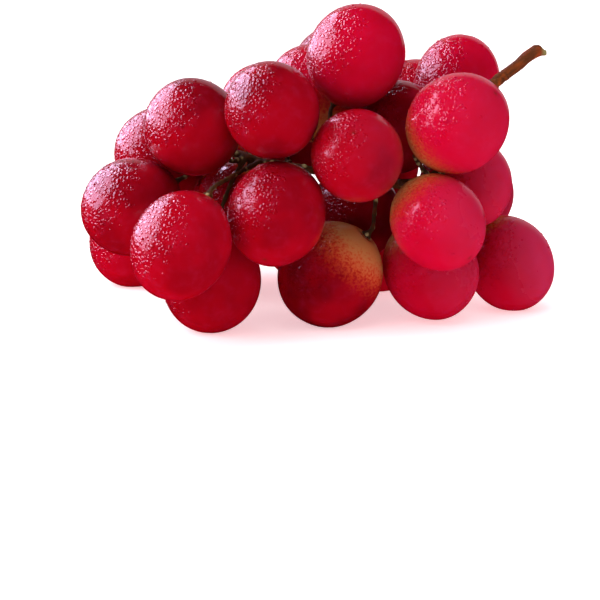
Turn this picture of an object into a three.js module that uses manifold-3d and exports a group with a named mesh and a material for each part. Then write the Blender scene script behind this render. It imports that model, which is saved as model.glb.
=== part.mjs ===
// A bunch of large round red grapes, as picked, lying on a table.
// Millimetres, +Z up. The table is z = 0, and the origin is on it, under the middle of the bunch.
// The bunch faces -Y: its cut stem stands out at the upper right, towards +X.
// Every berry is a body of its own. The stem, its branches and its pedicels grew as one body.

import * as THREE from 'three';
import { mergeVertices } from 'three/addons/utils/BufferGeometryUtils.js';
import Module from 'manifold-3d';

const wasm = await Module();
wasm.setup();

// Clearances
const gap = 0.3;                 // left between neighbouring pieces
const restingSink = 0.45;        // how far a berry on the table is pressed flat
const tableClearance = 0.6;      // the least height of the other berries
const collarGap = 0.4;           // between a collar and the middle of its dimple
const pedicelClearance = 1.25;   // from the middle of a pedicel to a skin

// Berries
const berrySides = 14;
const berryBands = 6;            // between the blossom end and the dimple
const dimpleDepth = 0.9;         // the hollow that the pedicel meets
const dimpleRadius = 2.6;
const dimpleRings = [0.5, 0.24]; // radians from the stem end
const backWidth = 24;            // the berries of the far side are all alike
const backLength = 25.5;
const skinColour = 0xb3122f;

// Stem
const cutEndOutline = [[0, 0], [1.6, 0], [1.5, 0.9], [0.95, 2], [0.8, 2.8], [0, 2.8]]; // radius, height
const cutEndWay = [1, 0.1, -0.25]; // where it points
const elbowRadius = 1.8;         // where the cut end bends away from the peduncle
const peduncleRadius = 1.7;
const rachisRadius = 1.5;
const rachisTipRadius = 1.2;
const branchRadius = 1.05;
const pedicelRadius = 0.8;
const nodeSwelling = 1.3;        // a swollen node's radius, as a share of the limb's
const collarOutline = [[0, 0], [0.65, 0], [1.9, 1.35], [1.5, 1.8], [0, 1.8]]; // radius, height
const collarLength = 1.8;
const neckLength = 3;            // the straight end of a pedicel
const limbSides = 7;
const pedicelSides = 5;
const stepLength = 3;            // along a limb or a pedicel
const pedicelBends = 7;          // the points that a pedicel can bend at
const pedicelSmoothings = 80;
const stemColour = 0x8b5a33;

// The near side: the middle of each berry, its width and length, and where its stem end points
const seenBerries = [
  { place: [14, 13.5, 68.5], width: 24.5, length: 26.5, stemEnd: [-0.4, 0.2, -0.9] },
  { place: [-7.5, 0, 57], width: 23.5, length: 25, stemEnd: [0.25, 0.55, -0.8] },
  { place: [-27, 12.5, 51], width: 24.5, length: 25, stemEnd: [0.65, 0.35, -0.65] },
  { place: [-35.5, 32, 40.5], width: 24.5, length: 24.5, stemEnd: [0.95, -0.3, 0] },
  { place: [-42.5, 10.5, 31.5], width: 24.5, length: 26, stemEnd: [0.8, 0.4, 0.4] },
  { place: [-29, -16, 26.5], width: 24, length: 27.5, stemEnd: [0.45, 0.35, 0.8] },
  { place: [-44.5, 60.5, 12.5], width: 24, length: 25.5, stemEnd: [0.5, -0.4, 0.75], rests: true },
  { place: [-22, 9, 13], width: 25, length: 27, stemEnd: [0.1, 0.3, 0.95], rests: true },
  { place: [-6, -3, 32], width: 24.5, length: 27, stemEnd: [0.2, 0.65, 0.7] },
  { place: [14, -1, 46], width: 23, length: 23.5, stemEnd: [0.1, 0.75, -0.6] },
  { place: [8, 13.5, 13.5], width: 26.5, length: 28, stemEnd: [0.65, -0.1, 0.75], rests: true },
  { place: [38.5, 3.5, 53.5], width: 24.5, length: 27, stemEnd: [-0.65, 0.45, -0.6] },
  { place: [34, -1, 29.5], width: 23, length: 25.5, stemEnd: [-0.6, 0.55, 0.6] },
  { place: [33.5, 18, 14], width: 24, length: 27, stemEnd: [-0.45, 0.1, 0.85] },
  { place: [55, 33, 12.5], width: 23, length: 26, stemEnd: [-0.55, 0.1, 0.83], rests: true },
  { place: [42, 28, 34], width: 23.5, length: 25, stemEnd: [-0.35, 0.55, 0.75] },
  { place: [45, 50.5, 28], width: 24.5, length: 25.5, stemEnd: [-0.5, -0.45, 0.75] },
  { place: [40, 38.5, 58.5], width: 22, length: 25, stemEnd: [-0.2, -0.1, -0.97] },
  { place: [31, 57.5, 51.5], width: 23, length: 24, stemEnd: [0.3, -0.75, -0.6] },
  { place: [3, 32, 57.5], width: 23.5, length: 25.5, stemEnd: [0.1, -0.4, -0.9] },
  { place: [25.5, 23.5, 50], width: 23.5, length: 25, stemEnd: [-0.75, -0.2, -0.6] },
  { place: [-30, 43, 20], width: 24.5, length: 25.5, stemEnd: [0.5, -0.45, 0.75] },
  { place: [14, 35, 25], width: 24, length: 25, stemEnd: [-0.2, -0.4, 0.9] },
  { place: [-18, 25.5, 28.5], width: 23, length: 24.5, stemEnd: [0.3, -0.3, 0.9] },
  { place: [21, 56, 12], width: 24, length: 25, stemEnd: [-0.1, -0.6, 0.8], rests: true },
];

// The far side, where every stem end points at the nearest limb
const backBerries = [
  { place: [-10, 51, 50] },
  { place: [-6, 49, 24] },
  { place: [-30, 58, 38] },
  { place: [21, 68, 33] },
  { place: [-18, 65, 17] },
  { place: [12, 65, 58] },
  { place: [0, 66, 12], rests: true },
  { place: [-7, 71, 37] },
];

// The stem's limbs, each a route through the gaps between the berries
const peduncleRoute = [
  [60.4, 27.8, 68.7], [58.4, 27.2, 67.5], [55, 26, 64.7], [49.5, 24.2, 60.9], [44.5, 21.5, 56.5], [41, 18.5, 50]];
const rachisRoute = [[41, 18.5, 50], [38.5, 16.5, 42.5], [31, 17, 36.5], [19, 18, 36.5], [6, 19.5, 38.5]];
const rachisTipRoute = [[6, 19.5, 38.5], [-8, 20.5, 41], [-18, 24.5, 43]];
const rightBranchRoute = [
  [41, 18.5, 50], [39.5, 26, 48.5], [37.5, 33, 47], [36, 40, 42], [35, 41, 33], [35, 39.5, 25]];
const middleBranchRoute = [[6, 19.5, 38.5], [9, 27, 41], [12, 36, 43], [13, 45, 41]];
const leftBranchRoute = [[-8, 20.5, 41], [-10, 30, 41.5], [-13, 39, 39], [-19, 47, 33.5], [-22, 50, 30.5]];

// Settling
const settlingRounds = 400;
const seenLooseness = 0.12;      // how readily a berry gives way to its neighbours
const backLooseness = 1;
const up = new THREE.Vector3(0, 0, 1);
const down = new THREE.Vector3(0, 0, -1);

function vector(values) {
  return new THREE.Vector3(...values);
}

// Half the thickness of a berry between two parallel planes square to a direction
function reach(berry, direction) {
  const along = direction.dot(berry.axis);
  const across = 1 - along * along;
  return Math.sqrt((berry.length / 2) ** 2 * along * along + (berry.width / 2) ** 2 * across);
}

function makeLimb(route, radius) {
  const path = new THREE.CatmullRomCurve3(route.map(vector));
  return { path, radius, samples: path.getSpacedPoints(Math.ceil(path.getLength())) };
}

function nearestOnLimbs(limbs, point) {
  const samples = limbs.flatMap((limb) => limb.samples);
  const nearer = (best, sample) => (sample.distanceTo(point) < best.distanceTo(point) ? sample : best);
  return samples.reduce(nearer);
}

function makeBerries(limbs) {
  const near = seenBerries.map((berry) => (
    { ...berry, centre: vector(berry.place), axis: vector(berry.stemEnd), looseness: seenLooseness }));
  const far = backBerries.map((berry) => {
    const centre = vector(berry.place);
    const axis = nearestOnLimbs(limbs, centre).clone().sub(centre);
    return { ...berry, centre, axis, width: backWidth, length: backLength, looseness: backLooseness };
  });
  const berries = [...near, ...far];
  berries.forEach((berry) => berry.axis.normalize());
  return berries;
}

function keepOffTable(berry) {
  const half = reach(berry, down);
  if (berry.rests) {
    berry.centre.z = half - restingSink;
  } else {
    berry.centre.z = Math.max(berry.centre.z, half + tableClearance);
  }
}

function pushApart(one, other) {
  const away = other.centre.clone().sub(one.centre);
  const distance = away.length();
  away.divideScalar(distance);
  const overlap = reach(one, away) + reach(other, away) + gap - distance;
  if (overlap > 0) {
    const share = one.looseness / (one.looseness + other.looseness);
    one.centre.addScaledVector(away, -overlap * share);
    other.centre.addScaledVector(away, overlap * (1 - share));
  }
}

function pushOffLimb(berry, limb) {
  for (const point of limb.samples) {
    const away = berry.centre.clone().sub(point);
    const distance = away.length();
    away.divideScalar(distance);
    const overlap = reach(berry, away) + limb.radius * nodeSwelling + gap - distance;
    if (overlap > 0) {
      berry.centre.addScaledVector(away, overlap);
    }
  }
}

// The berries give way to each other, to the branches and to the table
function settle(berries, limbs) {
  for (let round = 0; round < settlingRounds; round += 1) {
    for (const [index, berry] of berries.entries()) {
      for (const other of berries.slice(index + 1)) {
        pushApart(berry, other);
      }
      for (const limb of limbs) {
        pushOffLimb(berry, limb);
      }
      keepOffTable(berry);
    }
  }
}

// Geometry whose shared corners are one vertex and which has no collapsed triangles
function weld(geometry) {
  const bare = geometry.clone();
  bare.deleteAttribute('normal');
  bare.deleteAttribute('uv');
  const merged = mergeVertices(bare);
  const corners = merged.index.array;
  const kept = [];
  for (let start = 0; start < corners.length; start += 3) {
    const [a, b, c] = corners.slice(start, start + 3);
    if (a !== b && b !== c && c !== a) {
      kept.push(a, b, c);
    }
  }
  merged.setIndex(kept);
  return merged;
}

function toSolid(geometry) {
  const welded = weld(geometry);
  return new wasm.Manifold(new wasm.Mesh({
    numProp: 3,
    vertProperties: new Float32Array(welded.attributes.position.array),
    triVerts: new Uint32Array(welded.index.array),
  }));
}

function toGeometry(solid) {
  const mesh = solid.getMesh();
  const geometry = new THREE.BufferGeometry();
  geometry.setAttribute('position', new THREE.BufferAttribute(new Float32Array(mesh.vertProperties), 3));
  geometry.setIndex(new THREE.BufferAttribute(new Uint32Array(mesh.triVerts), 1));
  geometry.computeVertexNormals();
  return geometry;
}

// A berry's outline from its blossom end to the middle of its dimple, turned about its length
function berryGeometry(berry) {
  const [rim, inner] = dimpleRings.map((ring) => Math.PI - ring);
  const body = Array.from({ length: berryBands }, (_, band) => rim * (band + 1) / berryBands);
  const profile = [new THREE.Vector2(0, -berry.length / 2)];
  for (const angle of [...body, inner]) {
    const radius = berry.width / 2 * Math.sin(angle);
    const height = -berry.length / 2 * Math.cos(angle);
    const hollow = height > 0 ? dimpleDepth * Math.exp(-((radius / dimpleRadius) ** 2)) : 0;
    profile.push(new THREE.Vector2(radius, height - hollow));
  }
  profile.push(new THREE.Vector2(0, berry.length / 2 - dimpleDepth));
  return new THREE.LatheGeometry(profile, berrySides).rotateX(Math.PI / 2);
}

// The flat spot that a berry on the table rests on
function flattenUnderside(geometry, place, matrix) {
  const blockSize = 60;
  const table = new THREE.BoxGeometry(blockSize, blockSize, blockSize);
  table.translate(place.x, place.y, -blockSize / 2).applyMatrix4(matrix.clone().invert());
  return toGeometry(toSolid(geometry).subtract(toSolid(table)));
}

function makeBerryMesh(berry, index) {
  const turn = new THREE.Quaternion().setFromUnitVectors(up, berry.axis);
  const matrix = new THREE.Matrix4().compose(berry.centre, turn, new THREE.Vector3(1, 1, 1));
  const whole = berryGeometry(berry);
  const geometry = berry.rests ? flattenUnderside(whole, berry.centre, matrix) : weld(whole);
  const material = new THREE.MeshStandardMaterial({ color: skinColour, roughness: 0.35, metalness: 0 });
  const mesh = new THREE.Mesh(geometry, material);
  mesh.name = `berry_${String(index + 1).padStart(2, '0')}`;
  mesh.position.copy(berry.centre);
  mesh.quaternion.copy(turn);
  return mesh;
}

function polygon(radius, sides) {
  const corner = (_, index) => {
    const angle = 2 * Math.PI * index / sides;
    return new THREE.Vector2(radius * Math.cos(angle), radius * Math.sin(angle));
  };
  return new THREE.Shape(Array.from({ length: sides }, corner));
}

function tube(path, radius, sides) {
  const steps = Math.ceil(path.getLength() / stepLength);
  return new THREE.ExtrudeGeometry(polygon(radius, sides), { steps, extrudePath: path, bevelEnabled: false });
}

// A turned form that stands at a place and points along a direction
function turned(outline, sides, place, direction) {
  const points = outline.map(([radius, height]) => new THREE.Vector2(radius, height));
  const geometry = new THREE.LatheGeometry(points, sides).rotateX(Math.PI / 2);
  const turn = new THREE.Quaternion().setFromUnitVectors(up, direction);
  return geometry.applyQuaternion(turn).translate(place.x, place.y, place.z);
}

function ball(point, radius) {
  return new THREE.IcosahedronGeometry(radius, 1).translate(point.x, point.y, point.z);
}

function swollenNode(point, radius) {
  return ball(point, radius * nodeSwelling);
}

// Moves a point of a pedicel out of a berry, square to its skin
function pushOutOf(berry, point, clearance) {
  const offset = point.clone().sub(berry.centre);
  const along = offset.dot(berry.axis);
  const across = offset.clone().addScaledVector(berry.axis, -along);
  const halfLength = berry.length / 2 + clearance;
  const halfWidth = berry.width / 2 + clearance;
  const share = Math.hypot(along / halfLength, across.length() / halfWidth);
  if (share < 1) {
    const outwards = across.divideScalar(halfWidth ** 2).addScaledVector(berry.axis, along / halfLength ** 2);
    point.addScaledVector(outwards.normalize(), offset.length() * (1 - share) / share);
  }
}

// A pedicel grows from the nearest limb and bends round the berries in its way
function pedicelPath(berry, berries, limbs) {
  const tip = berry.centre.clone().addScaledVector(berry.axis, berry.length / 2 - dimpleDepth + collarGap);
  const neck = tip.clone().addScaledVector(berry.axis, neckLength);
  const root = nearestOnLimbs(limbs, neck);
  const points = Array.from({ length: pedicelBends }, (_, index) => (
    root.clone().lerp(neck, (index + 1) / (pedicelBends + 1))));
  for (let round = 0; round < pedicelSmoothings; round += 1) {
    for (const [index, point] of points.entries()) {
      const before = points[index - 1] ?? root;
      const after = points[index + 1] ?? neck;
      point.lerp(before.clone().add(after).multiplyScalar(0.5), 0.5);
    }
    for (const point of points) {
      for (const other of berries) {
        pushOutOf(other, point, pedicelClearance);
      }
      point.z = Math.max(point.z, pedicelClearance);
    }
  }
  return { path: new THREE.CatmullRomCurve3([root, ...points, neck, tip]), tip };
}

function collar(berry, tip) {
  const foot = tip.clone().addScaledVector(berry.axis, collarLength);
  return turned(collarOutline, pedicelSides, foot, berry.axis.clone().negate());
}

function makeStem(berries, limbs) {
  const [peduncle, rachis, rachisTip, ...branches] = limbs;
  const parts = limbs.map((limb) => tube(limb.path, limb.radius, limbSides));
  const elbow = peduncle.path.getPoint(0);
  parts.push(ball(elbow, elbowRadius));
  parts.push(turned(cutEndOutline, limbSides, elbow, vector(cutEndWay).normalize()));
  parts.push(swollenNode(rachis.path.getPoint(0), peduncleRadius));
  parts.push(swollenNode(rachisTip.path.getPoint(0), rachisRadius));
  parts.push(swollenNode(rachisTip.path.getPoint(1), rachisTipRadius));
  for (const branch of branches) {
    parts.push(swollenNode(branch.path.getPoint(0), rachisRadius));
    parts.push(swollenNode(branch.path.getPoint(1), branchRadius));
  }
  for (const berry of berries) {
    const { path, tip } = pedicelPath(berry, berries, limbs.slice(1));
    parts.push(tube(path, pedicelRadius, pedicelSides));
    parts.push(collar(berry, tip));
  }
  const whole = parts.map(toSolid).reduce((joined, part) => joined.add(part));
  const material = new THREE.MeshStandardMaterial({ color: stemColour, roughness: 0.8, metalness: 0 });
  const mesh = new THREE.Mesh(toGeometry(whole), material);
  mesh.name = 'stem';
  return mesh;
}

const limbs = [
  makeLimb(peduncleRoute, peduncleRadius),
  makeLimb(rachisRoute, rachisRadius),
  makeLimb(rachisTipRoute, rachisTipRadius),
  makeLimb(rightBranchRoute, branchRadius),
  makeLimb(middleBranchRoute, branchRadius),
  makeLimb(leftBranchRoute, branchRadius),
];
const berries = makeBerries(limbs);
settle(berries, limbs);
const bunch = new THREE.Group();
bunch.add(makeStem(berries, limbs));
for (const [index, berry] of berries.entries()) {
  bunch.add(makeBerryMesh(berry, index));
}
const middle = new THREE.Box3().setFromObject(bunch, true).getCenter(new THREE.Vector3());
bunch.position.set(-middle.x, -middle.y, 0);

export default bunch;
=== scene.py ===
"""A bunch of large round red grapes with dew on their skins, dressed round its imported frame.

The frame gives the place and size of each berry and of the stem. This file gives their fine forms, the
skins, the bark, the dew and a plain studio.
"""

import math
import random
from collections import namedtuple

import bmesh
import bpy
import numpy as np
from bpy.props import FloatProperty, FloatVectorProperty, IntProperty, PointerProperty
from bpy.types import Operator, Panel, PropertyGroup
from mathutils import Matrix, Vector, noise


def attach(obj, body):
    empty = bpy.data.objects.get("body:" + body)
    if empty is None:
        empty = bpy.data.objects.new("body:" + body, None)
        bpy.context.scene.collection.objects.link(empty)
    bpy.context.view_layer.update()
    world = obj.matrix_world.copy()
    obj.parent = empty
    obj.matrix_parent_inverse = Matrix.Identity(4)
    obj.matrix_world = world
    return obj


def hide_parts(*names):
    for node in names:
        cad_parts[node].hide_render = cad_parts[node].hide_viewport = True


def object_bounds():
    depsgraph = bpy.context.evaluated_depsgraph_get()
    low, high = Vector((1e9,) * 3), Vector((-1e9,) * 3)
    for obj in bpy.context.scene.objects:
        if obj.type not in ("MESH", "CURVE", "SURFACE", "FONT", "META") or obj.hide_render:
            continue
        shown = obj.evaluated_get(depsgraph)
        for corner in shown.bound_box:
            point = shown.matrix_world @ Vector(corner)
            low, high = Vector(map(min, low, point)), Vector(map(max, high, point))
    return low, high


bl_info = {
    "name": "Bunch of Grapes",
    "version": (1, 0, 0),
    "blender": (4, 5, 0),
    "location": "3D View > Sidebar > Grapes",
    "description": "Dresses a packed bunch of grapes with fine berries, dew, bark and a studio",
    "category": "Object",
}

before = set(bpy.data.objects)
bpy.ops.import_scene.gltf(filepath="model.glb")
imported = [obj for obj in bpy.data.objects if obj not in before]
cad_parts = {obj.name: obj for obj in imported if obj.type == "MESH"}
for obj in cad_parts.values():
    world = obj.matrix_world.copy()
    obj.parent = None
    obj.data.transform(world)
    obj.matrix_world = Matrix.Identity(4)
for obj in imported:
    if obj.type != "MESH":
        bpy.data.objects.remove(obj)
cad_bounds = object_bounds()

BODY = "root"
STEM_NODE = "stem"
BERRY_NODES = sorted(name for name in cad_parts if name.startswith("berry_"))
BERRIES_IN_A_PIECE = 8
PEDUNCLE_WAY = Vector((0.76, 0.2, 0.61)).normalized()
UP = Vector((0, 0, 1))

# How far the pale shoulder spreads from the stem end, in radians, where it isn't the usual
SHOULDER_REACH = {
    "berry_11": 1.45,
    "berry_12": 1.5,
    "berry_13": 1.5,
    "berry_14": 1.1,
    "berry_15": 0.8,
    "berry_20": 1.4,
}
USUAL_REACH = (0.3, 0.5)

# How far a berry's colour runs from dark crimson, 0, to pink red, 1, where it isn't drawn at random
TONE = {
    "berry_01": 0.72,
    "berry_02": 0.27,
    "berry_03": 0.3,
    "berry_04": 0.35,
    "berry_05": 0.35,
    "berry_06": 0.4,
    "berry_07": 0.45,
    "berry_08": 0.4,
    "berry_09": 0.38,
    "berry_10": 0.36,
    "berry_11": 0.22,
    "berry_12": 0.95,
    "berry_13": 0.9,
    "berry_14": 0.68,
    "berry_15": 0.7,
    "berry_16": 0.75,
    "berry_18": 0.85,
    "berry_21": 0.25,
    "berry_23": 0.2,
    "berry_24": 0.3,
}
USUAL_TONE = (0.3, 0.7)

# How thickly the pale wax and a painted sheen lie on a berry's right side, where it isn't the usual; the
# sheen is painted light falling from the right
WAX_AND_SHEEN = {
    "berry_10": 0.15,
    "berry_12": 0.25,
    "berry_13": 0.4,
    "berry_14": 0.4,
    "berry_15": 0.8,
    "berry_16": 0.5,
    "berry_17": 0.5,
}
USUAL_WAX_AND_SHEEN = 0.02
# The side of every berry that gets the painted sheen, the same way for all of them
PAINTED_SHEEN_WAY = Vector((0.85, -0.45, 0.27)).normalized()
PAINTED_SHEEN_EDGE = 0.1       # cosine of the angle from that way at which the wax and its painted sheen end
PAINTED_SHEEN_FADING = 0.75    # how far it fades, as a difference of the cosine

Berry = namedtuple("Berry", "name middle axis width length reach tone wax seed")


def clamp(value, low=0.0, high=1.0):
    """A value kept between two limits"""
    return max(low, min(high, value))


def colour(name, description, default):
    """A colour that the panel shows"""
    return FloatVectorProperty(
        name=name, description=description, default=default, subtype="COLOR", size=3, min=0, max=1)


def size(name, description, default):
    """A length in metres that the panel shows"""
    return FloatProperty(name=name, description=description, default=default, unit="LENGTH", precision=5)


def share(name, description, default):
    """A share from 0 to 1 that the panel shows"""
    return FloatProperty(
        name=name, description=description, default=default, subtype="FACTOR", min=0, max=1)


def power(name, description, default):
    """The power of a light in watts that the panel shows"""
    return FloatProperty(name=name, description=description, default=default, unit="POWER", min=0)


class BerryShape(PropertyGroup):
    """The fine form of the berries"""

    around: IntProperty(name="Faces around", description="Faces round a berry", default=64, min=12)
    along: IntProperty(name="Faces along", description="Faces from end to end", default=48, min=8)
    dimple_depth: size("Dimple depth", "Depth of the hollow at the stem end", 0.0009)
    dimple_radius: size("Dimple radius", "Radius of the hollow at the stem end", 0.0026)
    rim_height: size("Rim height", "Height of the soft swelling round the hollow", 0.00015)
    scar_radius: size("Scar radius", "Radius of the dry scar at the blossom end", 0.0006)
    scar_depth: size("Scar depth", "Depth of the dry scar at the blossom end", 0.0002)
    swelling: size("Swelling", "How far the skin swells and sinks", 0.00025)
    swelling_size: size("Swelling size", "Distance from one swelling to the next", 0.011)


class SkinLook(PropertyGroup):
    """The colours and gloss of the skins"""

    deep: colour("Deep", "The darkest skins", (0.12, 0.0008, 0.003))
    ripe: colour("Ripe", "The skins between the darkest and the palest", (0.34, 0.0012, 0.0085))
    pink: colour("Pink", "The palest skins", (0.47, 0.002, 0.026))
    shoulder: colour("Shoulder", "Round the stem end", (0.52, 0.2, 0.07))
    shoulder_edge: colour("Shoulder edge", "Where the shoulder turns red", (0.5, 0.05, 0.015))
    # Both the pale wax and the painted sheen on the berries' right sides take this colour
    bloom_and_sheen: colour("Bloom", "The thin wax on the skin", (0.52, 0.05, 0.17))
    bloom_cover: share("Bloom cover", "How much of the skin the wax veils", 0.06)
    scar: colour("Scar", "The dry scar at the blossom end", (0.2, 0.008, 0.006))
    roughness: share("Roughness", "Roughness of the dry skin", 0.16)
    wetness: share("Wetness", "How much less rough the skin is below its beads", 0.1)
    translucency: share("Translucency", "How much light travels through the flesh", 1.0)
    flesh: size("Flesh", "How far light travels through the flesh", 0.004)
    drop_flesh: size("Drop flesh", "How far light travels through a drop", 0.0002)
    bead_height: FloatProperty(
        name="Bead height", description="Height of the finest beads, 1 for half balls", default=0.55, min=0)
    bead_spacing: size("Bead spacing", "Distance between the finest beads of dew", 0.00085)
    bead_cover: share("Bead cover", "How many places hold a bead", 0.85)


class DewLook(PropertyGroup):
    """The drops of dew that stand on the skins"""

    tries: IntProperty(name="Drops", description="Drops tried on each berry", default=330, min=0)
    spray: FloatVectorProperty(
        name="Spray", description="The side that the spray came from", default=(-0.72, -0.5, 0.48),
        subtype="DIRECTION", size=3)
    back_spray: FloatVectorProperty(
        name="Back spray", description="The far side that it came from as well", default=(0.4, 0.8, 0.45),
        subtype="DIRECTION", size=3)
    dry_beyond: FloatProperty(
        name="Dry beyond", description="Cosine of the angle from the spray at which the skin is dry",
        default=0.48, min=-1, max=1)
    fading: share("Fading", "How far the wet side fades, as a difference of the cosine", 0.35)
    stray: share("Stray", "Chance that a drop stands on the dry side", 0.02)
    smallest: size("Smallest", "Radius of the smallest drops", 0.00016)
    largest: size("Largest", "Radius of the largest drops", 0.0005)
    flatness: share("Flatness", "Height of a drop as a share of its radius", 0.42)
    seed: IntProperty(name="Seed", description="Start of the random places", default=7)


class StemLook(PropertyGroup):
    """The bark of the stem"""

    fineness: size("Fineness", "Size of the faces of the stem", 0.00036)
    ridge_height: size("Ridge height", "How far the bark stands up", 0.00016)
    ridge_size: size("Ridge size", "Distance from one ridge of the bark to the next", 0.0018)
    wart_size: size("Wart size", "Distance from one corky wart to the next", 0.0017)
    wart_height: size("Wart height", "How far a corky wart stands up", 0.00022)
    bark: colour("Bark", "The main colour of the bark", (0.32, 0.06, 0.006))
    bark_red: colour("Red bark", "The reddish stretches of the bark", (0.31, 0.045, 0.012))
    bark_dark: colour("Dark bark", "The furrows of the bark", (0.1, 0.028, 0.008))
    # Painted shade: the inner stem, deep in the bunch, gets this near-black green in place of the shade
    # that falls there
    green: colour("Green", "The fresh inner parts of the stem", (0.014, 0.011, 0.004))
    wart: colour("Wart", "The corky warts", (0.36, 0.28, 0.13))
    wood: colour("Wood", "The dry wood of the cut end", (0.24, 0.23, 0.09))


class Studio(PropertyGroup):
    """The floor, the lights and the camera"""

    floor: colour("Floor", "The colour of the floor", (0.88, 0.88, 0.88))
    floor_size: size("Floor size", "Length of each side of the floor", 8.0)
    floor_glow: FloatProperty(
        name="Floor glow", description="How much light the floor gives off by itself", default=0.7, min=0)
    floor_tint: colour("Floor tint", "The colour of that light, seen in the shadows", (1.0, 0.7, 0.74))
    sky: FloatProperty(name="Sky", description="Strength of the even light", default=0.7, min=0)
    sun: FloatProperty(name="Sun", description="Strength of the wide light above", default=1.65, min=0)
    key_power: power("Key", "Power of the soft light on the left", 1.8)
    window_power: power("Window", "Power of the wide light that the skins mirror", 16.0)
    backdrop_power: power("Backdrop", "Power of the pale light behind that the edges mirror", 2.4)
    aim: FloatVectorProperty(
        name="Aim", description="The point that the camera looks at, from the middle of the top berry",
        default=(-0.014, -0.01356, -0.05961), subtype="XYZ", unit="LENGTH", size=3, precision=5)
    distance: size("Distance", "From the camera to its aim", 0.6)
    elevation: FloatProperty(
        name="Elevation", description="Height of the camera above its aim, as an angle",
        default=math.radians(12.5), subtype="ANGLE")
    lens: FloatProperty(name="Lens", description="Focal length", default=144, subtype="DISTANCE_CAMERA")


class Bunch(PropertyGroup):
    """All the settings of the bunch"""

    berry: PointerProperty(type=BerryShape)
    skin: PointerProperty(type=SkinLook)
    dew: PointerProperty(type=DewLook)
    stem: PointerProperty(type=StemLook)
    studio: PointerProperty(type=Studio)


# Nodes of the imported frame, read as points

SAME_POINT_DECIMALS = 6
FLAT_SPOT_TOP = 0.0002    # lower points lie on the flat spot that a berry rests on
DIMPLE_REACH = 0.004      # points of the stem end that are nearer to the axis lie in the dimple


def node_corners(name):
    """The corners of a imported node's triangles, three in a row for each triangle"""
    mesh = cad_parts[name].data
    flat = np.empty(len(mesh.vertices) * 3, np.float32)
    mesh.vertices.foreach_get("co", flat)
    order = np.empty(len(mesh.loops), np.int32)
    mesh.loops.foreach_get("vertex_index", order)
    return flat.reshape(-1, 3)[order].astype(float)


def measure_berry(name, number):
    """The middle, axis and half sizes of a packed berry, with its own drawn colours"""
    corners = node_corners(name)
    a, b, c = corners[0::3], corners[1::3], corners[2::3]
    volumes = np.einsum("ij,ij->i", a, np.cross(b, c)) / 6
    middle = ((a + b + c) / 4 * volumes[:, None]).sum(0) / volumes.sum()
    points, counts = np.unique(np.round(corners, SAME_POINT_DECIMALS), axis=0, return_counts=True)
    # Most triangles meet at the two ends, and the hollow stem end is the nearer one
    poles = points[counts >= counts.max() - 1]
    pole = poles[np.linalg.norm(poles - middle, axis=1).argmin()]
    axis = (pole - middle) / np.linalg.norm(pole - middle)
    away = points - middle
    along = away @ axis
    across = np.sqrt(np.maximum((away ** 2).sum(1) - along ** 2, 0))
    on_skin = (points[:, 2] > FLAT_SPOT_TOP) & ((along < 0) | (across > DIMPLE_REACH))
    # The spheroid that fits the skin best, which may be shifted along the axis
    terms = np.stack([across ** 2, along ** 2, -2 * along], 1)[on_skin]
    wide, long, shift = np.linalg.lstsq(terms, np.ones(len(terms)), rcond=None)[0]
    middle = middle + axis * shift / long
    draw = random.Random(number)
    return Berry(
        name=name,
        middle=Vector(middle),
        axis=Vector(axis),
        width=wide ** -0.5,
        length=long ** -0.5,
        reach=SHOULDER_REACH.get(name, draw.uniform(*USUAL_REACH)),
        tone=TONE.get(name, draw.uniform(*USUAL_TONE)),
        wax=WAX_AND_SHEEN.get(name, USUAL_WAX_AND_SHEEN),
        seed=Vector((draw.uniform(0, 100), draw.uniform(0, 100), draw.uniform(0, 100))))


BERRIES = [measure_berry(name, number) for number, name in enumerate(BERRY_NODES)]


# The form of a berry

DIMPLE_SPREAD = 0.6    # these four are shares of the dimple's radius or the scar's
RIM_PLACE = 1.4
RIM_SPREAD = 0.5
SCAR_RING = 0.6


def hump(value, middle, spread):
    """A smooth hump of height 1"""
    return math.exp(-((value - middle) / spread) ** 2)


def skin_point(berry, shape, way):
    """The point of a berry's skin that lies that way, in the berry's own frame with its stem end up"""
    flat = math.hypot(way.x, way.y)
    across = berry.width * flat
    lift = shape.swelling * noise.noise(way * berry.length / shape.swelling_size + berry.seed)
    if way.z > 0:
        dimple = shape.dimple_radius
        lift -= shape.dimple_depth * hump(across, 0, dimple * DIMPLE_SPREAD)
        lift += shape.rim_height * hump(across, dimple * RIM_PLACE, dimple * RIM_SPREAD)
    else:
        ring = shape.scar_radius * SCAR_RING
        lift -= shape.scar_depth * hump(across, ring, ring)
    return Vector((way.x * berry.width, way.y * berry.width, way.z * berry.length)) + way * lift


def berry_matrix(berry):
    """Turns a berry's own frame to its place in the bunch"""
    turn = UP.rotation_difference(berry.axis).to_matrix().to_4x4()
    return Matrix.Translation(berry.middle) @ turn


def shoulder_mask(berry, way):
    """1 at the stem end, falling to 0 where the pale shoulder stops"""
    return max(0.0, 1 - math.acos(clamp(way.z, -1.0)) / berry.reach)


def scar_mask(berry, shape, way):
    """1 on the dry scar of the blossom end"""
    return hump(berry.width * math.hypot(way.x, way.y), 0, shape.scar_radius) if way.z < 0 else 0.0


def wet_mask(way, dew):
    """1 on the sides that the spray reached, 0 on the dry ones"""
    facing = max(way.dot(Vector(spray).normalized()) for spray in (dew.spray, dew.back_spray))
    return clamp((facing - dew.dry_beyond) / dew.fading)


def wax_and_sheen_mask(berry, way):
    """How thickly the wax and the painted sheen lie on the skin that faces that way, thickest on the right
    side
    """
    return berry.wax * clamp((way.dot(PAINTED_SHEEN_WAY) - PAINTED_SHEEN_EDGE) / PAINTED_SHEEN_FADING)


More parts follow.
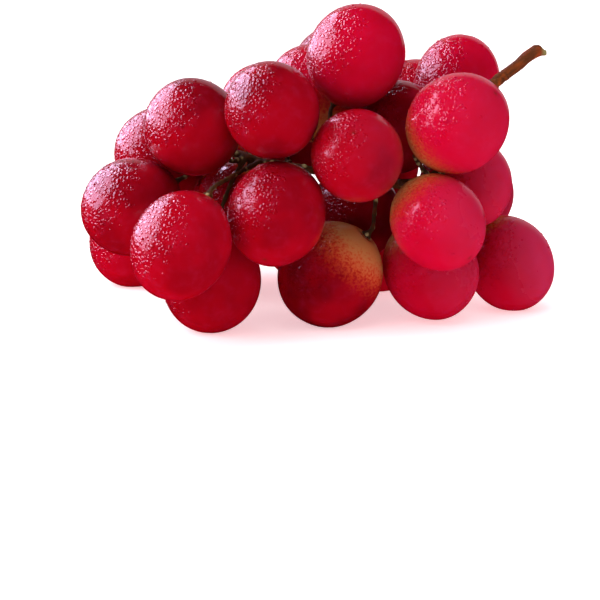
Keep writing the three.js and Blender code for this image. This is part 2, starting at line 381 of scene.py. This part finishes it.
def kept_in(points, low, high):
    """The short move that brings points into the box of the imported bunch"""
    move = Vector()
    for k in range(3):
        least = min(point[k] for point in points)
        most = max(point[k] for point in points)
        move[k] = max(0.0, low[k] - least) - max(0.0, most - high[k])
    return move


def keep_in_box(vertices):
    """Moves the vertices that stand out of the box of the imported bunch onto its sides"""
    low, high = cad_bounds
    for vertex in vertices:
        for k in range(3):
            vertex.co[k] = clamp(vertex.co[k], low[k], high[k])


def mark_layers(mesh_data):
    """The vertex layers that the skin material reads"""
    floats = mesh_data.verts.layers.float
    return [floats.new(name) for name in ("shoulder", "scar", "tone", "wet", "wax")]


def build_berry(berry, shape, dew):
    """The fine mesh of one berry, in its place"""
    place = berry_matrix(berry)
    turn = place.to_3x3()
    mesh_data = bmesh.new()
    bmesh.ops.create_uvsphere(mesh_data, u_segments=shape.around, v_segments=shape.along, radius=1)
    shoulder, scar, tone, wet, wax = mark_layers(mesh_data)
    for vertex in mesh_data.verts:
        way = vertex.co.normalized()
        vertex[shoulder] = shoulder_mask(berry, way)
        vertex[scar] = scar_mask(berry, shape, way)
        vertex[tone] = berry.tone
        vertex[wet] = wet_mask(turn @ way, dew)
        vertex[wax] = wax_and_sheen_mask(berry, turn @ way)
        vertex.co = skin_point(berry, shape, way)
    mesh_data.transform(place)
    low, high = cad_bounds
    sideways = kept_in([vertex.co for vertex in mesh_data.verts], low, high)
    sideways.z = min(sideways.z, 0)
    mesh_data.transform(Matrix.Translation(sideways))
    for vertex in mesh_data.verts:
        vertex.co.z = max(vertex.co.z, low.z)
    return mesh_data


def new_object(name, data):
    """A new object in the scene"""
    item = bpy.data.objects.new(name, data)
    bpy.context.scene.collection.objects.link(item)
    return item


def finish_piece(name, mesh_data, materials, replaced=()):
    """Makes a smooth object of a bmesh and tells the frame what it is"""
    mesh = bpy.data.meshes.new(name)
    mesh_data.to_mesh(mesh)
    mesh_data.free()
    mesh.shade_smooth()
    for material in materials:
        mesh.materials.append(material)
    piece = new_object(name, mesh)
    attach(piece, BODY)
    if replaced:
        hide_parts(*replaced)
    return piece


# Shader building blocks


def add_node(tree, kind, inputs=None, **settings):
    """A new node with its settings, its inputs given as values or as other nodes' outputs"""
    node = tree.nodes.new(kind)
    for name, value in settings.items():
        setattr(node, name, value)
    for name, value in (inputs or {}).items():
        if isinstance(value, bpy.types.NodeSocket):
            tree.links.new(value, node.inputs[name])
        else:
            node.inputs[name].default_value = value
    return node


def maths(tree, operation, first, second=0.0, clamp=False):
    """The output of a Math node"""
    node = add_node(tree, "ShaderNodeMath", {0: first, 1: second}, operation=operation, use_clamp=clamp)
    return node.outputs[0]


def scaled(tree, value, factor, shift):
    """A value times a factor, plus a shift"""
    inputs = {0: value, 1: factor, 2: shift}
    return add_node(tree, "ShaderNodeMath", inputs, operation="MULTIPLY_ADD").outputs[0]


def blend(tree, factor, first, second):
    """The colour between two colours"""
    inputs = {0: factor, 6: first, 7: second}
    return add_node(tree, "ShaderNodeMix", inputs, data_type="RGBA").outputs[2]


def eased(tree, value, low, high):
    """A value that runs smoothly from 0 at low to 1 at high"""
    inputs = {"Value": value, "From Min": low, "From Max": high}
    return add_node(tree, "ShaderNodeMapRange", inputs, interpolation_type="SMOOTHSTEP").outputs[0]


def attribute(tree, name):
    """A vertex layer as a value"""
    return add_node(tree, "ShaderNodeAttribute", attribute_name=name).outputs["Fac"]


def rgba(values):
    """A colour with its alpha"""
    return (*values, 1.0)


def new_group(name, inputs, outputs):
    """An empty shader node group with its sockets and its two end nodes"""
    group = bpy.data.node_groups.new(name, "ShaderNodeTree")
    for socket_name, kind in inputs.items():
        group.interface.new_socket(socket_name, in_out="INPUT", socket_type=f"NodeSocket{kind}")
    for socket_name, kind in outputs.items():
        group.interface.new_socket(socket_name, in_out="OUTPUT", socket_type=f"NodeSocket{kind}")
    return group, group.nodes.new("NodeGroupInput"), group.nodes.new("NodeGroupOutput")


CLOUD_EDGES = (0.35, 0.65)
GRAIN_EDGES = (0.4, 0.7)
GRAIN_FINENESS = 6.0     # how many grains lie across a cloud


def clouds_group():
    """Soft clouds and a much finer grain"""
    name = "Clouds"
    if name in bpy.data.node_groups:
        return bpy.data.node_groups[name]
    group, source, result = new_group(
        name, {"Vector": "Vector", "Size": "Float"}, {"Mask": "Float", "Grain": "Float"})
    scale = maths(group, "DIVIDE", 1.0, source.outputs["Size"])
    place = source.outputs["Vector"]
    clouds = add_node(
        group, "ShaderNodeTexNoise", {"Vector": place, "Scale": scale, "Detail": 2.0, "Roughness": 0.5})
    grain = add_node(
        group, "ShaderNodeTexNoise",
        {"Vector": place, "Scale": maths(group, "MULTIPLY", scale, GRAIN_FINENESS), "Detail": 3.0,
         "Roughness": 0.6})
    group.links.new(eased(group, clouds.outputs["Fac"], *CLOUD_EDGES), result.inputs["Mask"])
    group.links.new(eased(group, grain.outputs["Fac"], *GRAIN_EDGES), result.inputs["Grain"])
    return group


def clouds_at(tree, place, spacing):
    """The masks of the clouds at a place"""
    inputs = {"Vector": place, "Size": spacing}
    return add_node(tree, "ShaderNodeGroup", inputs, node_tree=clouds_group()).outputs


BEAD_SMALLEST = 0.4      # radius, as a share of the spacing
BEAD_LARGEST = 0.75
BEAD_EDGE = (0.0, 0.3)   # the heights between which the skin turns wet


def beads_group():
    """Small round beads, one in a cell, with some cells left bare"""
    name = "Beads"
    if name in bpy.data.node_groups:
        return bpy.data.node_groups[name]
    group, source, result = new_group(
        name,
        {"Vector": "Vector", "Spacing": "Float", "Cover": "Float"},
        {"Height": "Float", "Mask": "Float"})
    scale = maths(group, "DIVIDE", 1.0, source.outputs["Spacing"])
    cells = add_node(
        group, "ShaderNodeTexVoronoi", {"Vector": source.outputs["Vector"], "Scale": scale})
    parts = add_node(group, "ShaderNodeSeparateColor", {"Color": cells.outputs["Color"]})
    radius = scaled(group, parts.outputs["Red"], BEAD_LARGEST - BEAD_SMALLEST, BEAD_SMALLEST)
    reach = maths(group, "DIVIDE", cells.outputs["Distance"], radius)
    dome = maths(group, "SUBTRACT", 1.0, maths(group, "POWER", reach, 2.0), clamp=True)
    dome = maths(group, "SQRT", dome)
    kept = maths(group, "LESS_THAN", parts.outputs["Green"], source.outputs["Cover"])
    dome = maths(group, "MULTIPLY", dome, kept)
    group.links.new(maths(group, "MULTIPLY", dome, radius), result.inputs["Height"])
    group.links.new(eased(group, dome, *BEAD_EDGE), result.inputs["Mask"])
    return group


WIDE_CLOUDS = 0.014      # in metres
SMALL_CLOUDS = 0.004
TONE_DRIFT = 0.22        # how far the tone drifts over a berry
DEEP_TO_RIPE = (0.0, 0.5)
RIPE_TO_PINK = (0.4, 1.0)
WAX_AND_SHEEN_COVER = 0.41         # how much of the skin a full layer of wax and painted sheen veils
WAX_AND_SHEEN_CLOUDS = 0.08        # and what the clouds add to that
RAGGEDNESS = 0.18        # of the shoulder's edge
RED_TO_EDGE = (0.0, 0.4)
EDGE_TO_SHOULDER = (0.2, 0.6)


def skin_colour_group(look):
    """The colour of a grape's skin from its place and its masks"""
    name = "Grape skin colour"
    if name in bpy.data.node_groups:
        return bpy.data.node_groups[name]
    # The Bloom output carries the wax veil together with the painted sheen of the right sides
    group, source, result = new_group(
        name,
        {"Vector": "Vector", "Shoulder": "Float", "Scar": "Float", "Tone": "Float", "Wax": "Float"},
        {"Color": "Color", "Bloom": "Float"})
    place = source.outputs["Vector"]
    wide = clouds_at(group, place, WIDE_CLOUDS)
    small = clouds_at(group, place, SMALL_CLOUDS)
    drift = scaled(group, wide["Mask"], TONE_DRIFT, -TONE_DRIFT / 2)
    tone = maths(group, "ADD", source.outputs["Tone"], drift)
    skin = blend(group, eased(group, tone, *DEEP_TO_RIPE), rgba(look.deep), rgba(look.ripe))
    skin = blend(group, eased(group, tone, *RIPE_TO_PINK), skin, rgba(look.pink))
    veil_and_sheen = maths(group, "MULTIPLY", small["Mask"], wide["Grain"])
    veil_and_sheen = maths(group, "MULTIPLY", veil_and_sheen, look.bloom_cover)
    # Painted sheen: the pale wax is laid thickly on the right sides, where light from the right would fall
    wax = scaled(group, wide["Mask"], WAX_AND_SHEEN_CLOUDS, WAX_AND_SHEEN_COVER)
    wax = maths(group, "MULTIPLY", wax, source.outputs["Wax"])
    veil_and_sheen = maths(group, "ADD", veil_and_sheen, wax)
    skin = blend(group, veil_and_sheen, skin, rgba(look.bloom_and_sheen))
    ragged = maths(group, "MULTIPLY", small["Grain"], RAGGEDNESS)
    ragged = maths(group, "SUBTRACT", source.outputs["Shoulder"], ragged)
    skin = blend(group, eased(group, ragged, *RED_TO_EDGE), skin, rgba(look.shoulder_edge))
    skin = blend(group, eased(group, ragged, *EDGE_TO_SHOULDER), skin, rgba(look.shoulder))
    skin = blend(group, source.outputs["Scar"], skin, rgba(look.scar))
    group.links.new(skin, result.inputs["Color"])
    group.links.new(veil_and_sheen, result.inputs["Bloom"])
    return group


def new_material(name):
    """A material that holds a Principled shader and its output"""
    material = bpy.data.materials.new(name)
    material.use_nodes = True
    tree = material.node_tree
    tree.nodes.clear()
    shader = tree.nodes.new("ShaderNodeBsdfPrincipled")
    output = tree.nodes.new("ShaderNodeOutputMaterial")
    tree.links.new(shader.outputs["BSDF"], output.inputs["Surface"])
    return material, tree, shader


def set_values(shader, values):
    """Sets the inputs of a shader that are the same everywhere"""
    for name, value in values.items():
        shader.inputs[name].default_value = value


FLESH_COLOURS = (1.0, 0.1, 0.12)    # how far red, green and blue travel, as shares of the reach
WAX_AND_SHEEN_DULLNESS = 0.6                  # how much rougher the skin is below the wax and the painted sheen


def coloured_skin(tree, look):
    """The skin colour group, fed with a piece's own place and masks"""
    place = add_node(tree, "ShaderNodeTexCoord").outputs["Object"]
    names = ("shoulder", "scar", "tone", "wax")
    inputs = {"Vector": place, **{name.capitalize(): attribute(tree, name) for name in names}}
    return place, add_node(tree, "ShaderNodeGroup", inputs, node_tree=skin_colour_group(look))


def set_flesh(shader, look, reach):
    """Light that travels through what lies under a surface, this far"""
    set_values(shader, {
        "Subsurface Weight": look.translucency,
        "Subsurface Radius": FLESH_COLOURS,
        "Subsurface Scale": reach,
    })


def skin_material(look):
    """Red skin with a thin wax and a painted sheen on its right side, set with the finest beads of dew"""
    material, tree, shader = new_material("Grape skin")
    place, skin = coloured_skin(tree, look)
    tree.links.new(skin.outputs["Color"], shader.inputs["Base Color"])
    cover = maths(tree, "MULTIPLY", attribute(tree, "wet"), look.bead_cover)
    inputs = {"Vector": place, "Spacing": look.bead_spacing, "Cover": cover}
    beads = add_node(tree, "ShaderNodeGroup", inputs, node_tree=beads_group())
    dull = scaled(tree, skin.outputs["Bloom"], WAX_AND_SHEEN_DULLNESS, look.roughness)
    wet = maths(tree, "MULTIPLY", beads.outputs["Mask"], look.wetness)
    tree.links.new(maths(tree, "SUBTRACT", dull, wet), shader.inputs["Roughness"])
    bump = add_node(
        tree, "ShaderNodeBump",
        {"Height": beads.outputs["Height"],
         "Distance": look.bead_spacing * look.bead_height,
         "Strength": 1.0})
    tree.links.new(bump.outputs["Normal"], shader.inputs["Normal"])
    set_values(shader, {"IOR": 1.45})
    set_flesh(shader, look, look.flesh)
    return material


def dew_material(look):
    """Wet drops in the colour of the skin below them, as clear water would show it"""
    material, tree, shader = new_material("Dew")
    skin = coloured_skin(tree, look)[1]
    tree.links.new(skin.outputs["Color"], shader.inputs["Base Color"])
    set_values(shader, {"Roughness": 0.06, "IOR": 1.4})
    set_flesh(shader, look, look.drop_flesh)
    return material


BARK_CLOUDS = 0.0025          # in metres
# How far the inner stem turns to the near-black green of painted shade
FRESH_AND_SHADED_COVER = 0.75
SPECK_COVER = 0.25
BARK_ROUGHNESS = 0.55
BARK_GRAIN_ROUGHNESS = 0.2    # what the grain adds
BARK_GRAIN_HEIGHT = 0.0002    # in metres


def bark_material(look):
    """Dry brown bark with corky warts, greener and darkened with painted shade inside the bunch, and the
    wood of the cut end
    """
    material, tree, shader = new_material("Bark")
    place = add_node(tree, "ShaderNodeTexCoord").outputs["Object"]
    clouds = clouds_at(tree, place, BARK_CLOUDS)
    bark = blend(tree, clouds["Mask"], rgba(look.bark), rgba(look.bark_red))
    bark = blend(tree, attribute(tree, "furrow"), bark, rgba(look.bark_dark))
    # Painted shade: away from the cut end the greener stem is laid over with near-black green
    fresh = maths(tree, "MULTIPLY", attribute(tree, "fresh"), FRESH_AND_SHADED_COVER)
    bark = blend(tree, fresh, bark, rgba(look.green))
    speck = maths(tree, "MULTIPLY", clouds["Grain"], SPECK_COVER)
    bark = blend(tree, speck, bark, rgba(look.bark_dark))
    bark = blend(tree, attribute(tree, "wart"), bark, rgba(look.wart))
    bark = blend(tree, attribute(tree, "wood"), bark, rgba(look.wood))
    tree.links.new(bark, shader.inputs["Base Color"])
    rough = scaled(tree, clouds["Grain"], BARK_GRAIN_ROUGHNESS, BARK_ROUGHNESS)
    tree.links.new(rough, shader.inputs["Roughness"])
    bump = add_node(
        tree, "ShaderNodeBump",
        {"Height": clouds["Grain"], "Distance": BARK_GRAIN_HEIGHT, "Strength": 0.6})
    tree.links.new(bump.outputs["Normal"], shader.inputs["Normal"])
    set_values(shader, {"Specular IOR Level": 0.06})
    return material


# The pieces

DROP_AROUND = 8
DROP_ALONG = 4
DROP_RARITY = 4            # the higher, the fewer large drops
NARROWEST_DROP = 0.75      # width, as a share of the length
DROP_ROOM = 2.5            # left free round a drop, in radii
DRY_STEM_END = 0.0012      # no drop stands less deep than this below the stem end


class GRAPES_OT_berries(Operator):
    """Put a fine berry with a red skin in the place of each packed berry"""

    bl_idname = "grapes.berries"
    bl_label = "Berries"

    def execute(self, context):
        bunch = context.scene.bunch
        skin = skin_material(bunch.skin)
        for berry in BERRIES:
            mesh_data = build_berry(berry, bunch.berry, bunch.dew)
            finish_piece(berry.name.replace("berry", "grape"), mesh_data, [skin], [berry.name])
        return {"FINISHED"}


def is_free(point, berry, margin):
    """Whether a point stands clear of the table and of all the other berries"""
    if point.z < margin:
        return False
    for other in BERRIES:
        if other.name == berry.name:
            continue
        away = point - other.middle
        along = away.dot(other.axis)
        across = math.sqrt(max(0.0, away.length_squared - along * along))
        if math.hypot(across / (other.width + margin), along / (other.length + margin)) < 1:
            return False
    return True


def random_way(draw):
    """A direction drawn evenly over the sphere"""
    z = draw.uniform(-1, 1)
    turn = draw.uniform(0, math.tau)
    flat = math.sqrt(1 - z * z)
    return Vector((flat * math.cos(turn), flat * math.sin(turn), z))


def drops_on(berry, bunch, draw):
    """The places and shapes of the drops on one berry, each with the masks of the skin below it"""
    place = berry_matrix(berry)
    turn = place.to_3x3()
    dew = bunch.dew
    drops = []
    for _ in range(dew.tries):
        way = random_way(draw)
        radius = dew.smallest + (dew.largest - dew.smallest) * draw.random() ** DROP_RARITY
        narrow = draw.uniform(NARROWEST_DROP, 1)
        if berry.length * (1 - way.z) < DRY_STEM_END:
            continue
        wet = wet_mask(turn @ way, dew)
        if draw.random() > wet + dew.stray:
            continue
        point = place @ skin_point(berry, bunch.berry, way)
        if not is_free(point, berry, DROP_ROOM * radius):
            continue
        slope = Vector((way.x / berry.width, way.y / berry.width, way.z / berry.length)).normalized()
        upright = UP.rotation_difference(turn @ slope).to_matrix().to_4x4()
        flat = Matrix.Diagonal((radius, radius * narrow, radius * dew.flatness, 1))
        masks = (
            shoulder_mask(berry, way), scar_mask(berry, bunch.berry, way), berry.tone, wet,
            wax_and_sheen_mask(berry, turn @ way))
        drops.append((Matrix.Translation(point) @ upright @ flat, masks))
    return drops


def build_drops(drops):
    """A mesh with one small ball for each drop, sunk halfway into the skin"""
    mesh_data = bmesh.new()
    mask_layers = mark_layers(mesh_data)
    corner_layer = mesh_data.verts.layers.int.new("corner")
    drop_layer = mesh_data.verts.layers.int.new("drop")
    ball = bmesh.ops.create_uvsphere(
        mesh_data, u_segments=DROP_AROUND, v_segments=DROP_ALONG, radius=1)["verts"]
    corners = [vertex.co.copy() for vertex in ball]
    for number, vertex in enumerate(ball):
        vertex[corner_layer] = number
    # The balls are doubled until there are enough, and each copy keeps its number in a layer
    count = 1
    while count < len(drops):
        whole = mesh_data.verts[:] + mesh_data.edges[:] + mesh_data.faces[:]
        copies = bmesh.ops.duplicate(mesh_data, geom=whole)["geom"]
        for item in copies:
            if isinstance(item, bmesh.types.BMVert):
                item[drop_layer] += count
        count *= 2
    spare = [vertex for vertex in mesh_data.verts if vertex[drop_layer] >= len(drops)]
    bmesh.ops.delete(mesh_data, geom=spare, context="VERTS")
    for vertex in mesh_data.verts:
        matrix, masks = drops[vertex[drop_layer]]
        vertex.co = matrix @ corners[vertex[corner_layer]]
        for layer, mask in zip(mask_layers, masks):
            vertex[layer] = mask
    return mesh_data


class GRAPES_OT_dew(Operator):
    """Set drops of dew on the sprayed, open sides of the berries"""

    bl_idname = "grapes.dew"
    bl_label = "Dew"

    def execute(self, context):
        bunch = context.scene.bunch
        draw = random.Random(bunch.dew.seed)
        dew = dew_material(bunch.skin)
        for first in range(0, len(BERRIES), BERRIES_IN_A_PIECE):
            drops = []
            for berry in BERRIES[first:first + BERRIES_IN_A_PIECE]:
                drops += drops_on(berry, bunch, draw)
            joined = build_drops(drops)
            keep_in_box(joined.verts)
            finish_piece(f"dew_{first // BERRIES_IN_A_PIECE + 1}", joined, [dew])
        return {"FINISHED"}


SAME_POINT = 1e-6          # in metres, as all the lengths here
SMOOTHING = 0.5
SMOOTHINGS = 3
DRY_REACH = 0.032          # no dry bark lies farther than this from the cut end
DRY_FADING = 0.02          # the length over which it turns fresh, and dark with painted shade
RIDGE_STRETCH = 0.75       # how far the ridges are drawn out along the peduncle, 1 for without end
RIDGE_OCTAVES = 3
RIDGE_MIDDLE = 0.6         # the noise that neither lifts nor sinks the bark
FURROW_START = 0.75
FURROW_GAIN = 1.2
WOOD_REACH = 0.0022
WART_SEED = Vector((3, 1, 4))
WART_RADIUS = 0.42         # as a share of the spacing
WART_GAIN = 1.6
BARE_BELOW = 0.1           # the places with a lower cell noise have no wart
PLACE_STEP = 7.3           # sets the cells of neighbouring warts apart


def remeshed(name, fineness):
    """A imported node's mesh, merged and made again of small even faces"""
    copy = new_object(name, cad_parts[name].data.copy())
    mesh_data = bmesh.new()
    mesh_data.from_mesh(copy.data)
    bmesh.ops.remove_doubles(mesh_data, verts=mesh_data.verts, dist=SAME_POINT)
    mesh_data.to_mesh(copy.data)
    mesh_data.free()
    remesh = copy.modifiers.new("Even faces", "REMESH")
    remesh.mode = "VOXEL"
    remesh.voxel_size = fineness
    smooth = copy.modifiers.new("Soft edges", "SMOOTH")
    smooth.factor = SMOOTHING
    smooth.iterations = SMOOTHINGS
    graph = bpy.context.evaluated_depsgraph_get()
    mesh = bpy.data.meshes.new_from_object(copy.evaluated_get(graph))
    result = bmesh.new()
    result.from_mesh(mesh)
    coarse = copy.data
    bpy.data.objects.remove(copy)
    bpy.data.meshes.remove(coarse)
    bpy.data.meshes.remove(mesh)
    return result


def dome_at(point, spacing, seed):
    """The height from 0 to 1 of the nearest wart, with some places left bare"""
    distances, points = noise.voronoi(point / spacing + seed)
    if noise.cell(points[0] * PLACE_STEP) < BARE_BELOW:
        return 0.0
    return max(0.0, 1 - (distances[0] / WART_RADIUS) ** 2)


class GRAPES_OT_stem(Operator):
    """Put a stem with ridged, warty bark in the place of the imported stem"""

    bl_idname = "grapes.stem"
    bl_label = "Stem"

    def execute(self, context):
        look = context.scene.bunch.stem
        mesh_data = remeshed(STEM_NODE, look.fineness)
        floats = mesh_data.verts.layers.float
        furrow, wart, fresh, wood = [floats.new(name) for name in ("furrow", "wart", "fresh", "wood")]
        mesh_data.normal_update()
        # The cut end is what reaches farthest to the right
        tip = max((vertex.co for vertex in mesh_data.verts), key=lambda co: co.x).copy()
        moves = []
        for vertex in mesh_data.verts:
            point = vertex.co
            distance = (point - tip).length
            dry = clamp((DRY_REACH - distance) / DRY_FADING)
            grain = point - PEDUNCLE_WAY * point.dot(PEDUNCLE_WAY) * RIDGE_STRETCH * dry
            ridge = noise.turbulence(grain / look.ridge_size, RIDGE_OCTAVES, False)
            dome = dome_at(point, look.wart_size, WART_SEED) * (1 - dry)
            vertex[furrow] = clamp(FURROW_START - FURROW_GAIN * ridge)
            vertex[wart] = min(1.0, dome * WART_GAIN)
            vertex[fresh] = 1 - dry
            vertex[wood] = max(0.0, 1 - (distance / WOOD_REACH) ** 2)
            lift = look.ridge_height * (ridge - RIDGE_MIDDLE) + look.wart_height * dome
            moves.append(vertex.normal * lift)
        for vertex, move in zip(mesh_data.verts, moves):
            vertex.co += move
        keep_in_box(mesh_data.verts)
        finish_piece("grape_stem", mesh_data, [bark_material(look)], [STEM_NODE])
        return {"FINISHED"}


BUNCH_MIDDLE = (0, 0, 0.035)

# The flat lights. The mirrored ones are seen by reflections alone, the others by all but reflections
AreaLight = namedtuple("AreaLight", "place target across up colour mirrored")
KEY = AreaLight((-0.45, -0.25, 0.35), BUNCH_MIDDLE, 0.4, 0.4, (1.0, 1.0, 1.0), False)
WINDOW = AreaLight((-0.5, 0.17, 0.3), BUNCH_MIDDLE, 1.05, 0.56, (0.86, 0.67, 1.0), True)
WALL = AreaLight((0, 0.9, 0.45), (0, 0, 0.45), 1.4, 0.9, (1.0, 0.72, 0.82), True)
SUN_PLACE = (-0.35, -0.3, 1.0)
SUN_WIDTH = math.radians(70)


def turned_to(way):
    """The turn of a light or a camera that faces that way"""
    return Vector(way).to_track_quat("-Z", "Y").to_euler()


def add_light(name, kind, watts):
    """A flat soft light with its face turned to its target"""
    light = bpy.data.lights.new(name, "AREA")
    light.energy = watts
    light.shape = "RECTANGLE"
    light.size = kind.across
    light.size_y = kind.up
    light.color = kind.colour
    lamp = new_object(name, light)
    lamp.location = kind.place
    lamp.rotation_euler = turned_to(Vector(kind.target) - Vector(kind.place))
    lamp.visible_glossy = kind.mirrored
    lamp.visible_diffuse = not kind.mirrored
    lamp.visible_camera = not kind.mirrored


def add_sun(strength):
    """An even, very soft light from above that reflections don't see"""
    light = bpy.data.lights.new("sun", "SUN")
    light.energy = strength
    light.angle = SUN_WIDTH
    lamp = new_object("sun", light)
    lamp.rotation_euler = turned_to(-Vector(SUN_PLACE))
    lamp.visible_glossy = False


def add_sky(strength):
    """An even white sky that reflections don't see"""
    world = bpy.data.worlds.new("Sky")
    world.use_nodes = True
    set_values(world.node_tree.nodes["Background"], {"Color": (1, 1, 1, 1), "Strength": strength})
    world.cycles_visibility.glossy = False
    bpy.context.scene.world = world


def floor_material(studio):
    """A plain pale floor that gives off a little light"""
    material, _, shader = new_material("Floor")
    set_values(shader, {
        "Base Color": rgba(studio.floor),
        "Roughness": 0.9,
        "Specular IOR Level": 0.1,
        "Emission Color": rgba(studio.floor_tint),
        "Emission Strength": studio.floor_glow,
    })
    return material


def add_floor(studio):
    """A flat square floor that reflections don't see"""
    mesh_data = bmesh.new()
    bmesh.ops.create_grid(mesh_data, x_segments=1, y_segments=1, size=studio.floor_size / 2)
    mesh = bpy.data.meshes.new("floor")
    mesh_data.to_mesh(mesh)
    mesh_data.free()
    mesh.materials.append(floor_material(studio))
    floor = new_object("floor", mesh)
    floor.visible_glossy = False


def add_camera(studio):
    """A camera in front of the bunch that looks a little down at it"""
    camera_data = bpy.data.cameras.new("camera")
    camera_data.lens = studio.lens
    camera = new_object("camera", camera_data)
    aim = BERRIES[0].middle + Vector(studio.aim)
    back = Vector((0, -math.cos(studio.elevation), math.sin(studio.elevation)))
    camera.location = aim + back * studio.distance
    camera.rotation_euler = turned_to(-back)
    bpy.context.scene.camera = camera


class GRAPES_OT_studio(Operator):
    """Make the floor, the soft lights and the camera"""

    bl_idname = "grapes.studio"
    bl_label = "Studio"

    def execute(self, context):
        studio = context.scene.bunch.studio
        add_floor(studio)
        add_sky(studio.sky)
        add_light("key", KEY, studio.key_power)
        add_light("window", WINDOW, studio.window_power)
        add_light("wall", WALL, studio.backdrop_power)
        add_sun(studio.sun)
        add_camera(studio)
        context.scene.view_settings.view_transform = "Standard"
        return {"FINISHED"}


class GRAPES_PT_bunch(Panel):
    """The settings of the bunch and the steps that make it"""

    bl_idname = "GRAPES_PT_bunch"
    bl_label = "Bunch of Grapes"
    bl_space_type = "VIEW_3D"
    bl_region_type = "UI"
    bl_category = "Grapes"

    def draw(self, context):
        bunch = context.scene.bunch
        for title, settings, step in (
                ("Berries", bunch.berry, "grapes.berries"),
                ("Skin", bunch.skin, None),
                ("Dew", bunch.dew, "grapes.dew"),
                ("Stem", bunch.stem, "grapes.stem"),
                ("Studio", bunch.studio, "grapes.studio")):
            box = self.layout.box()
            box.label(text=title)
            for name in type(settings).__annotations__:
                box.prop(settings, name)
            if step:
                box.operator(step)


CLASSES = (
    BerryShape,
    SkinLook,
    DewLook,
    StemLook,
    Studio,
    Bunch,
    GRAPES_OT_berries,
    GRAPES_OT_dew,
    GRAPES_OT_stem,
    GRAPES_OT_studio,
    GRAPES_PT_bunch,
)


def register():
    for item in CLASSES:
        bpy.utils.register_class(item)
    bpy.types.Scene.bunch = PointerProperty(type=Bunch)


def unregister():
    del bpy.types.Scene.bunch
    for item in reversed(CLASSES):
        bpy.utils.unregister_class(item)


def write_sizes():
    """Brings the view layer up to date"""
    bpy.context.view_layer.update()


def main():
    register()
    bpy.ops.grapes.berries()
    bpy.ops.grapes.dew()
    bpy.ops.grapes.stem()
    bpy.ops.grapes.studio()
    write_sizes()


if __name__ == "__main__":
    main()
